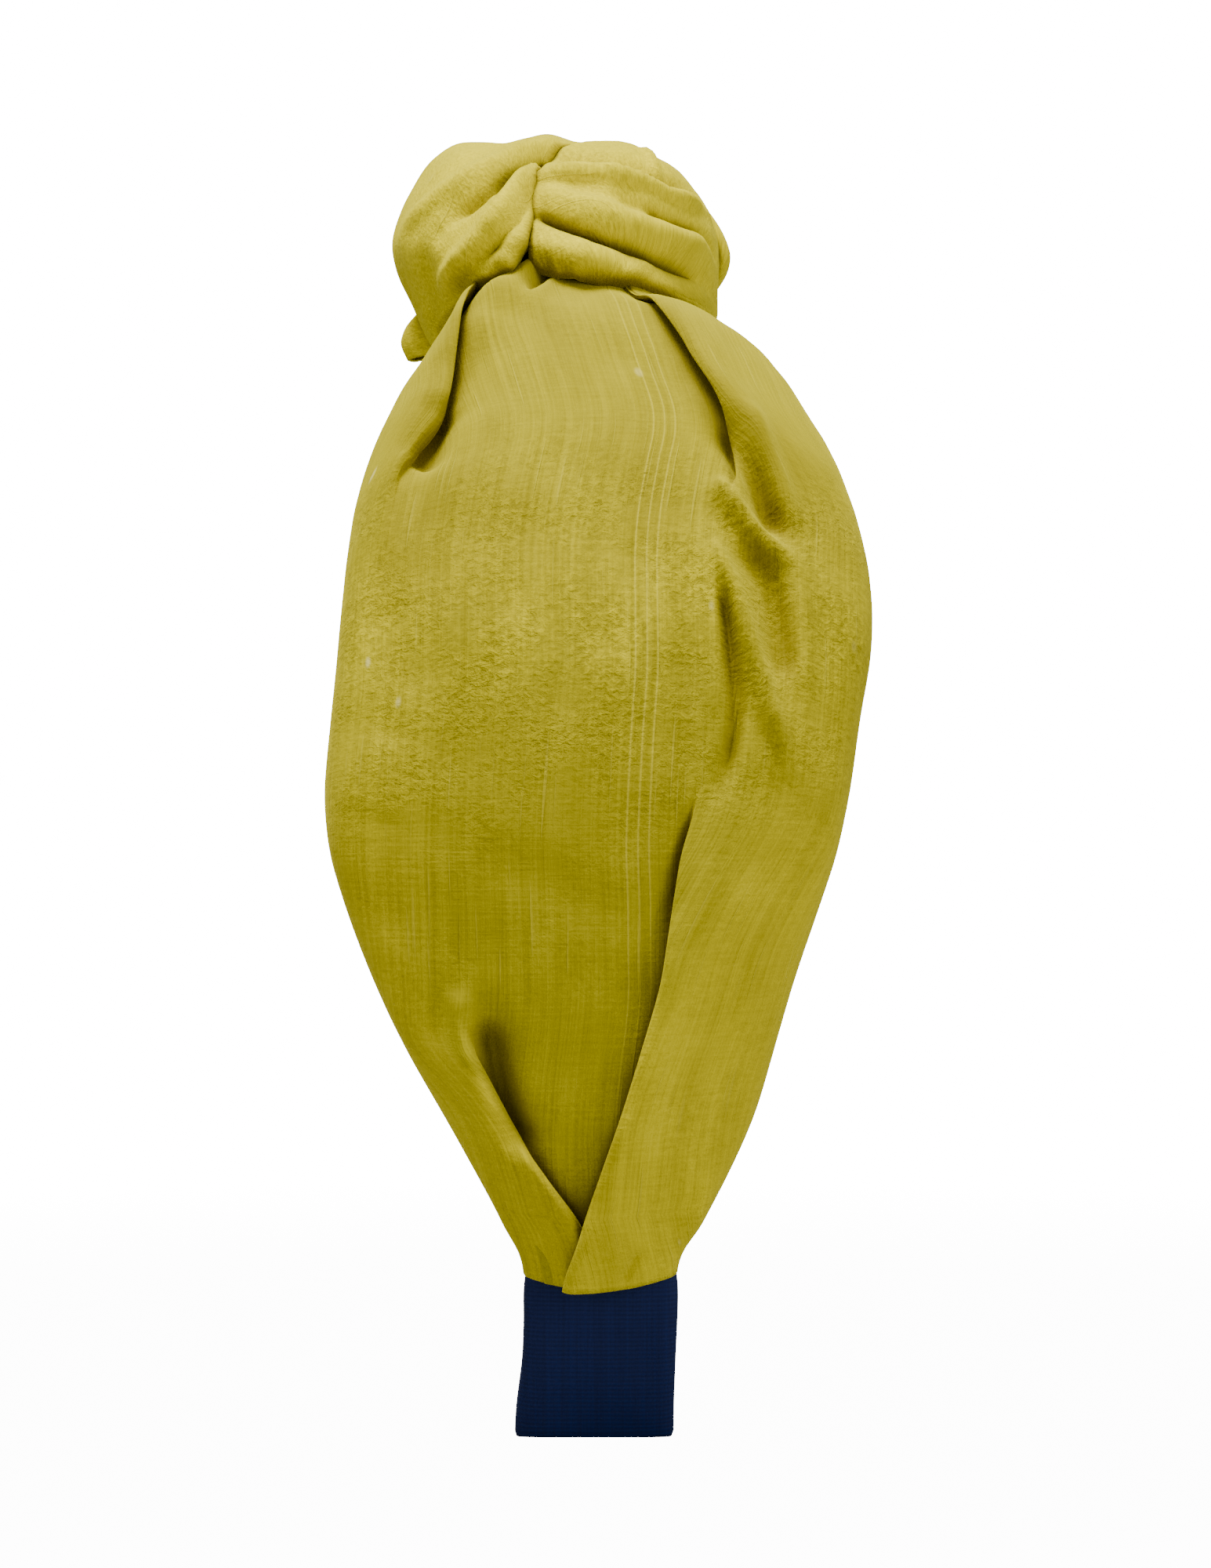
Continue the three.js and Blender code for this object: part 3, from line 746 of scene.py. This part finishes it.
def velvet_material():
    material, nodes, shader = new_material("crushed silk velvet")
    uv = nodes.add("UVMap", uv_map="cloth").outputs["UV"]
    split = nodes.add("SeparateXYZ", {"Vector": uv})
    across, along = split.outputs["X"], split.outputs["Y"]

    # The pile hides most of the threads on the knot.
    woven = nodes.add("Group", {"Vector": uv}, node_tree=THREADS)
    knot = nodes.ramp(along, *KNOT_FROM)
    pile = nodes.noise(uv, 1900, 3, 0.65)
    hides = nodes.math("MULTIPLY", knot, 0.72)
    threads = woven.outputs["Threads"]
    threads = nodes.add_up(threads, (nodes.math("SUBTRACT", pile, threads), hides))
    slubs = woven.outputs["Slubs"]

    # Crushing shows in patches, and most in a band across the widest part of the arm.
    patches = nodes.noise(nodes.stretched(uv, 1.0, 0.55), 150, 3, 0.55)
    crushed = nodes.noise(nodes.stretched(uv, 0.9, 1.15), 1050, 3, 0.75, 0.4)
    band = nodes.math("MULTIPLY", nodes.ramp(along, *CRUSHED_FROM), nodes.ramp(along, *CRUSHED_TO, 1, 0))
    crush_here = nodes.ramp(nodes.noise(uv, 110, 3, 0.6), 0.35, 0.65, 0.3, 1)
    crush_here = nodes.math("MULTIPLY", crush_here, nodes.ramp(band, 0, 1, 0.3, 1.0))
    crush = nodes.math("MULTIPLY", nodes.math("SUBTRACT", crushed, 0.5), crush_here)
    tone = nodes.add_up(nodes.math("MULTIPLY", threads, 0.75), (patches, 0.25), (crush, 1.15))
    tone = nodes.ramp(tone, 0.28, 0.72)

    # The nap is painted paler where it is brushed up, as light and sheen, with duller strokes in it, and
    # painted brightest on the knot and low on the arm, as more light and sheen.
    brightest_lit = nodes.math("MAXIMUM", knot, nodes.ramp(along, *BRIGHTEST_LIT_TO, 0.6, 0))
    pale = nodes.mix(tone, nodes.mix(brightest_lit, LIT_NAP_LOW, BRIGHTEST_LIT_LOW), nodes.mix(brightest_lit, LIT_NAP_HIGH, BRIGHTEST_LIT_HIGH))
    strokes = nodes.ramp(nodes.noise(nodes.stretched(uv, 1.0, 0.4), 62, 2, 0.5), 0.38, 0.66)
    pale = nodes.mix(nodes.math("MULTIPLY", strokes, nodes.ramp(brightest_lit, 0, 1, 0.42, 0.12)), pale, BRUSHED_DOWN)
    # Painted shade: the nap's deep copy, where it is brushed down and turned from the light.
    deep = nodes.mix(tone, SHADED_NAP_LOW, SHADED_NAP_HIGH)
    # Painted shade: the deep nap darker from the lower arm up towards its middle, where it turns from the
    # overhead lamp.
    deep = nodes.mix(nodes.math("MULTIPLY", nodes.ramp(along, 0.05, 0.085), 0.3), deep, MIDDLE_SHADE)
    # Painted light and sheen where the mask is up, and painted shade elsewhere.
    colour = nodes.mix(lit_and_sheen_nap(nodes, across, along, patches, crushed), deep, pale)

    # Small marks, painted shade in the creases, and a painted sheen rim where the pile is seen from its side.
    lint, pressed = velvet_lint(nodes, uv), pressed_lines(nodes, across)
    colour = nodes.mix(nodes.math("MULTIPLY", slubs, 0.18), colour, SLUB)
    colour = nodes.mix(nodes.math("MULTIPLY", lint, 0.6), colour, LINT)
    colour = nodes.mix(nodes.math("MULTIPLY", pressed, 0.3), colour, PRESSED)
    # Painted shade: the colour darkens towards the crease shade where the cloth is hidden from the room's
    # light.
    open_to_light = nodes.add("AmbientOcclusion", {"Distance": 0.007}, samples=8).outputs["AO"]
    colour = nodes.mix(nodes.ramp(open_to_light, 0.3, 0.92), CREASE_SHADE, colour)
    # Painted sheen: the base colour turns paler where the pile is seen from its side.
    sheen_rim = nodes.math("POWER", nodes.add("LayerWeight", {"Blend": 0.5}).outputs["Facing"], 2.4)
    colour = nodes.mix(nodes.math("MULTIPLY", sheen_rim, 0.6), colour, SHEEN_RIM_COLOUR)

    nodes.put(shader.inputs["Base Color"], colour)
    nodes.put(shader.inputs["Roughness"], nodes.ramp(threads, 0.3, 0.7, 0.82, 0.66))
    shader.inputs["Specular IOR Level"].default_value = 0.08
    shader.inputs["Sheen Weight"].default_value = 0.28
    shader.inputs["Sheen Roughness"].default_value = 0.35
    shader.inputs["Sheen Tint"].default_value = (1.0, 0.85, 0.05, 1)
    height = nodes.add_up(threads, (pressed, 0.15), (slubs, 0.3), (crush, 1.6), (lint, 0.5))
    bump = nodes.add("Bump", {"Height": height, "Distance": 0.0004, "Strength": 0.8})
    nodes.put(shader.inputs["Normal"], bump.outputs["Normal"])
    return material


NAVY_LOW, NAVY_HIGH = (0.0001, 0.0042, 0.034, 1), (0.0004, 0.0085, 0.066, 1)
BLACK_LOW, BLACK_HIGH = (0.012, 0.013, 0.016, 1), (0.022, 0.024, 0.028, 1)


def ribbon_material():
    material, nodes, shader = new_material("navy ribbon")
    uv = nodes.add("UVMap", uv_map="cloth").outputs["UV"]
    woven = nodes.add("Group", {"Vector": nodes.stretched(uv, 1.2, 1.2)}, node_tree=THREADS)
    weave = {"Vector": uv, "Scale": 560, "Distortion": 0.4, "Detail": 1, "Detail Scale": 1.5}
    ribs = nodes.add("TexWave", weave, wave_type="BANDS", bands_direction="Y").outputs["Fac"]
    tone = nodes.add_up(nodes.math("MULTIPLY", woven.outputs["Threads"], 0.86), (ribs, 0.14))
    nodes.put(shader.inputs["Base Color"], nodes.mix(nodes.ramp(tone, 0.3, 0.75), NAVY_LOW, NAVY_HIGH))
    nodes.put(shader.inputs["Roughness"], nodes.ramp(tone, 0.3, 0.8, 0.7, 0.52))
    shader.inputs["Specular IOR Level"].default_value = 0.18
    shader.inputs["Sheen Weight"].default_value = 0.05
    shader.inputs["Sheen Roughness"].default_value = 0.4
    shader.inputs["Sheen Tint"].default_value = (0.35, 0.5, 1.0, 1)
    bump = nodes.add("Bump", {"Height": tone, "Distance": 0.00012, "Strength": 0.7})
    nodes.put(shader.inputs["Normal"], bump.outputs["Normal"])
    return material


def plastic_material():
    material, nodes, shader = new_material("core plastic")
    place = nodes.add("TexCoord").outputs["Object"]
    grain = nodes.noise(place, 900, 3, 0.6)
    nodes.put(shader.inputs["Base Color"], nodes.mix(grain, BLACK_LOW, BLACK_HIGH))
    nodes.put(shader.inputs["Roughness"], nodes.ramp(grain, 0.3, 0.7, 0.36, 0.5))
    bump = nodes.add("Bump", {"Height": grain, "Distance": 0.00005, "Strength": 0.4})
    nodes.put(shader.inputs["Normal"], bump.outputs["Normal"])
    return material


VELVET = velvet_material()
RIBBON = ribbon_material()
PLASTIC = plastic_material()

# ---------------------------------------------------------------- the pieces

VELVET_THICK, TIP_THICK, LINING_THICK, STRAND_THICK = 0.45, 0.4, 0.5, 0.5
ARMS = (("left", 1.0), ("right", -1.0))

core = bpy.data.objects["core_band"]
core.data.materials.clear()
core.data.materials.append(PLASTIC)

for (side, facing), seed in zip(ARMS, (3, 11)):
    velvet = thicken(arm_velvet(f"{side}_velvet", facing, seed), VELVET_THICK)
    settle(velvet, f"{side}_cover", VELVET)

for (side, facing), seed in zip(ARMS, (4, 9)):
    ribbon = thicken(tip_ribbon(f"{side}_tip_ribbon", facing, seed), TIP_THICK)
    settle(ribbon, f"{side}_tip_wrap", RIBBON)

strip = settle(thicken(lining("lining"), LINING_THICK), "lining_ribbon", RIBBON)

over_depth = profile((-5, 0.3), (60, 0.32), (104, 0.26))
under_depth = profile((-5, 0.42), (60, 0.44), (104, 0.34))
over_folds = OVER_FOLDS + half_turned(OVER_FOLDS)
under_folds = UNDER_FOLDS + half_turned(UNDER_FOLDS)
over = strand("knot_over", over_edge, over_reach, over_depth, over_folds, 100, 5)
under = strand("knot_under", under_edge, under_reach, under_depth, under_folds, 98, 8, under=over_edge)
settle(thicken(over, STRAND_THICK), "knot_over_strand", VELVET)
settle(thicken(under, STRAND_THICK), "knot_under_strand", VELVET)

# ---------------------------------------------------------------- stage, light and camera

WHITE = 18.0  # the strength at which a surface shows plain white
ROOM_LIGHT = 0.3
FLOOR_GREY = (0.28, 0.28, 0.28, 1)
FADE_FROM, FADE_TO = 0.12, 0.42  # metres from the middle of the floor


def pale_floor():
    """A floor that fades to plain white where it is seen, but lights the object as a pale floor does."""
    material, nodes, shader = new_material("pale floor")
    shader.inputs["Base Color"].default_value = FLOOR_GREY
    shader.inputs["Roughness"].default_value = 0.9
    place = nodes.add("SeparateXYZ", {"Vector": nodes.add("TexCoord").outputs["Object"]})
    away = nodes.math("SQRT", nodes.math("ADD", nodes.math("POWER", place.outputs["X"], 2.0),
                                         nodes.math("POWER", place.outputs["Y"], 2.0)))
    far = nodes.ramp(away, FADE_FROM, FADE_TO, 0.75, 1)
    seen = nodes.math("MULTIPLY", far, nodes.add("LightPath").outputs["Is Camera Ray"])
    glow = nodes.add("Emission", {"Color": (1, 1, 1, 1), "Strength": WHITE})
    mix = nodes.add("MixShader", {"Fac": seen})
    material.node_tree.links.new(shader.outputs[0], mix.inputs[1])
    material.node_tree.links.new(glow.outputs[0], mix.inputs[2])
    end = next(n for n in material.node_tree.nodes if n.type == "OUTPUT_MATERIAL")
    material.node_tree.links.new(mix.outputs[0], end.inputs[0])
    return material


bpy.ops.mesh.primitive_plane_add(size=60, location=(0, 0, 0))
floor = bpy.context.object
floor.name = "floor"
floor.data.materials.append(pale_floor())


def square_light(name, where, aim, side, power):
    """A square lamp of that side in metres and that power in watts, turned to what it lights."""
    data = bpy.data.lights.new(name, "AREA")
    data.shape = "SQUARE"
    data.size = side
    data.energy = power
    light = bpy.data.objects.new(name, data)
    light.location = where
    light.rotation_euler = (Vector(aim) - Vector(where)).to_track_quat("-Z", "Y").to_euler()
    bpy.context.collection.objects.link(light)


square_light("overhead softbox", (0.18, -0.16, 0.95), (0.04, 0, 0.11), 0.36, 15.5)
square_light("camera side fill", (1.1, -0.5, 0.3), (0.05, 0, 0.08), 0.7, 2.9)
square_light("far side fill", (0.6, 0.9, 0.3), (0.0, 0, 0.08), 0.6, 6.4)

world = bpy.data.worlds.new("soft room")
bpy.context.scene.world = world
world.use_nodes = True
room = Nodes(world.node_tree)
background = world.node_tree.nodes["Background"]
background.inputs["Color"].default_value = (1, 1, 1, 1)
seen = room.math("MULTIPLY", room.add("LightPath").outputs["Is Camera Ray"], WHITE - ROOM_LIGHT)
room.put(background.inputs["Strength"], room.math("ADD", seen, ROOM_LIGHT))

camera_data = bpy.data.cameras.new("camera")
camera = bpy.data.objects.new("camera", camera_data)
bpy.context.collection.objects.link(camera)
bpy.context.scene.camera = camera
SENSOR = 36
FOCAL_HEIGHTS = 2.9225  # the lens's focal length, in heights of the frame
camera_data.sensor_width = SENSOR
camera_data.lens = SENSOR * FOCAL_HEIGHTS
camera.location = (0.62, 0.0013, 0.080)
camera.rotation_euler = (math.pi / 2, 0, math.pi / 2)
camera_data.clip_start, camera_data.clip_end = 0.01, 50
